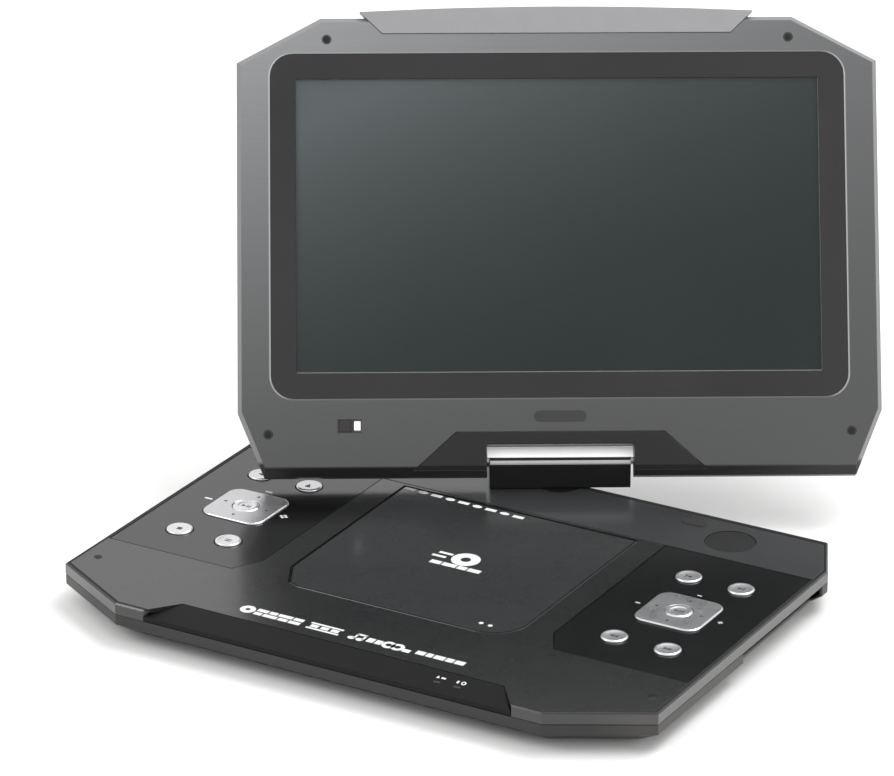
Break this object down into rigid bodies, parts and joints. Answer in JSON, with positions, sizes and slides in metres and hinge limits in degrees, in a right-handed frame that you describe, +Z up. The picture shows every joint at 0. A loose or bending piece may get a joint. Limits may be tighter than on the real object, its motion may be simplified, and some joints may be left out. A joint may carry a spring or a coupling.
{
  "type": "portable disc player",
  "caption": "Portable disc player with a wide swivelling, tilting screen, a pop-up disc door and silver buttons either side of it",
  "frame": {"origin": "on the surface the feet stand on, under the middle of the whole player's bounding box, with the screen open as stored", "axes": "+X to the player's right, +Y to its rear, +Z up; the base is square to X and Y, the screen is swivelled 31 degrees about +Z and leant back 29 degrees"},
  "size_m": [0.4146, 0.4692, 0.2823],
  "materials": {
    "deck_plastic": "fine satin charcoal",
    "case_plastic": "fine textured charcoal",
    "door_plastic": "satin charcoal",
    "trim_plastic": "semi-gloss charcoal",
    "key_panel_plastic": "semi-gloss black",
    "key_silver": "silver paint",
    "foot_rubber": "matt",
    "battery_wrap": "shrink film",
    "circuit_board": "solder mask",
    "speaker_frame": "moulded",
    "grille_black": "black",
    "hub_black": "moulded",
    "socket_plastic": "moulded",
    "well_plastic": "fine textured",
    "bright_steel": "ground",
    "pickup_metal": "die-cast",
    "hinge_plastic": "semi-gloss black",
    "chrome_trim": "polished",
    "screen_plastic": "grey, fine brushed",
    "screen_back_plastic": "fine textured grey",
    "window_glass": "clear, black border",
    "display_grey": "dark green-grey",
    "cover_plastic": "semi-gloss black",
    "bar_silver": "brushed silver",
    "sensor_black": "dark window"
  },
  "bodies": {
    "base": {"bottom_case": "case_plastic", "top_case": "deck_plastic", "front_trim": "trim_plastic", "foot_front_left": "foot_rubber", "foot_front_right": "foot_rubber", "foot_rear_left": "foot_rubber", "foot_rear_right": "foot_rubber", "battery_cover": "case_plastic", "battery_pack": "battery_wrap", "main_board": "circuit_board", "key_board_left": "circuit_board", "key_board_right": "circuit_board", "key_panel_left": "key_panel_plastic", "key_panel_right": "key_panel_plastic", "speaker_left": "speaker_frame", "speaker_right": "speaker_frame", "speaker_grille_left": "grille_black", "speaker_grille_right": "grille_black", "jack_block": "socket_plastic", "disc_well": "well_plastic", "drive_chassis": "bright_steel", "spindle_motor": "bright_steel", "guide_rod_left": "bright_steel", "guide_rod_right": "bright_steel", "sled_motor": "bright_steel", "swivel_collar": "hinge_plastic"},
    "hinge_head": {"swivel_pivot": "bright_steel", "hinge_block": "hinge_plastic", "hinge_cap": "chrome_trim", "hinge_strip": "chrome_trim", "hinge_shaft_left": "bright_steel", "hinge_shaft_right": "bright_steel"},
    "screen": {"screen_bezel": "screen_plastic", "screen_back": "screen_back_plastic", "screen_glass": "window_glass", "display_panel": "display_grey", "driver_board": "circuit_board", "hinge_cover": "cover_plastic", "top_bar": "bar_silver", "sensor_window": "sensor_black"},
    "disc_door": {"disc_door": "door_plastic", "door_pin_left": "bright_steel", "door_pin_right": "bright_steel"},
    "door_catch": {"door_catch": "key_silver"},
    "turntable": {"turntable": "hub_black"},
    "optical_pickup": {"optical_pickup": "pickup_metal"},
    "lead_screw": {"lead_screw": "bright_steel"},
    "power_switch": {"power_switch": "key_silver"},
    "key_left_front_inner": {"key_left_front_inner": "key_silver"},
    "key_left_front_outer": {"key_left_front_outer": "key_silver"},
    "key_left_rear_inner": {"key_left_rear_inner": "key_silver"},
    "key_left_rear_outer": {"key_left_rear_outer": "key_silver"},
    "nav_pad_left": {"nav_pad_left": "key_silver"},
    "nav_centre_left": {"nav_centre_left": "key_silver"},
    "key_right_front_inner": {"key_right_front_inner": "key_silver"},
    "key_right_front_outer": {"key_right_front_outer": "key_silver"},
    "key_right_rear_inner": {"key_right_rear_inner": "key_silver"},
    "key_right_rear_outer": {"key_right_rear_outer": "key_silver"},
    "nav_pad_right": {"nav_pad_right": "key_silver"},
    "nav_centre_right": {"nav_centre_right": "key_silver"}
  },
  "joints": [
    {"name": "screen_swivel", "type": "hinge", "parent": "base", "child": "hinge_head", "pos_m": [0.01585, 0.03598, 0.024], "axis": [0, 0, 1], "range_deg": [-31, 149]},
    {"name": "screen_tilt", "type": "hinge", "parent": "hinge_head", "child": "screen", "pos_m": [0.01585, 0.03598, 0.0395], "axis": [0.8572, 0.515, 0], "range_deg": [-61, 119]},
    {"name": "disc_door_hinge", "type": "hinge", "parent": "base", "child": "disc_door", "pos_m": [0.01585, -0.01422, 0.0227], "axis": [1, 0, 0], "range_deg": [-30, 0]},
    {"name": "door_catch_slide", "type": "slide", "parent": "base", "child": "door_catch", "axis": [0, -1, 0], "range_m": [0, 0.0015], "stiffness_N_per_m": 300},
    {"name": "turntable_spin", "type": "hinge", "parent": "base", "child": "turntable", "pos_m": [0.01585, -0.08862, 0.0164], "axis": [0, 0, 1], "continuous": true},
    {"name": "pickup_travel", "type": "slide", "parent": "base", "child": "optical_pickup", "axis": [0, -1, 0], "range_m": [0, 0.034]},
    {"name": "lead_screw_turn", "type": "hinge", "parent": "base", "child": "lead_screw", "pos_m": [0.04835, -0.09682, 0.0104], "axis": [0, 1, 0], "range_deg": [-1, 1531]},
    {"name": "power_switch_slide", "type": "slide", "parent": "base", "child": "power_switch", "axis": [0, 1, 0], "range_m": [0, 0.0025]},
    {"name": "key_left_front_inner_press", "type": "slide", "parent": "base", "child": "key_left_front_inner", "axis": [0, 0, -1], "range_m": [0, 0.0006], "stiffness_N_per_m": 400},
    {"name": "key_left_front_outer_press", "type": "slide", "parent": "base", "child": "key_left_front_outer", "axis": [0, 0, -1], "range_m": [0, 0.0006], "stiffness_N_per_m": 400},
    {"name": "key_left_rear_inner_press", "type": "slide", "parent": "base", "child": "key_left_rear_inner", "axis": [0, 0, -1], "range_m": [0, 0.0006], "stiffness_N_per_m": 400},
    {"name": "key_left_rear_outer_press", "type": "slide", "parent": "base", "child": "key_left_rear_outer", "axis": [0, 0, -1], "range_m": [0, 0.0006], "stiffness_N_per_m": 400},
    {"name": "nav_pad_left_press", "type": "slide", "parent": "base", "child": "nav_pad_left", "axis": [0, 0, -1], "range_m": [0, 0.0005], "stiffness_N_per_m": 600},
    {"name": "nav_centre_left_press", "type": "slide", "parent": "base", "child": "nav_centre_left", "axis": [0, 0, -1], "range_m": [0, 0.0006], "stiffness_N_per_m": 400},
    {"name": "key_right_front_inner_press", "type": "slide", "parent": "base", "child": "key_right_front_inner", "axis": [0, 0, -1], "range_m": [0, 0.0006], "stiffness_N_per_m": 400},
    {"name": "key_right_front_outer_press", "type": "slide", "parent": "base", "child": "key_right_front_outer", "axis": [0, 0, -1], "range_m": [0, 0.0006], "stiffness_N_per_m": 400},
    {"name": "key_right_rear_inner_press", "type": "slide", "parent": "base", "child": "key_right_rear_inner", "axis": [0, 0, -1], "range_m": [0, 0.0006], "stiffness_N_per_m": 400},
    {"name": "key_right_rear_outer_press", "type": "slide", "parent": "base", "child": "key_right_rear_outer", "axis": [0, 0, -1], "range_m": [0, 0.0006], "stiffness_N_per_m": 400},
    {"name": "nav_pad_right_press", "type": "slide", "parent": "base", "child": "nav_pad_right", "axis": [0, 0, -1], "range_m": [0, 0.0005], "stiffness_N_per_m": 600},
    {"name": "nav_centre_right_press", "type": "slide", "parent": "base", "child": "nav_centre_right", "axis": [0, 0, -1], "range_m": [0, 0.0006], "stiffness_N_per_m": 400}
  ],
  "couplings": [
    {"joint": "lead_screw_turn", "follows": "pickup_travel", "rad_per_m": 785.4}
  ]
}
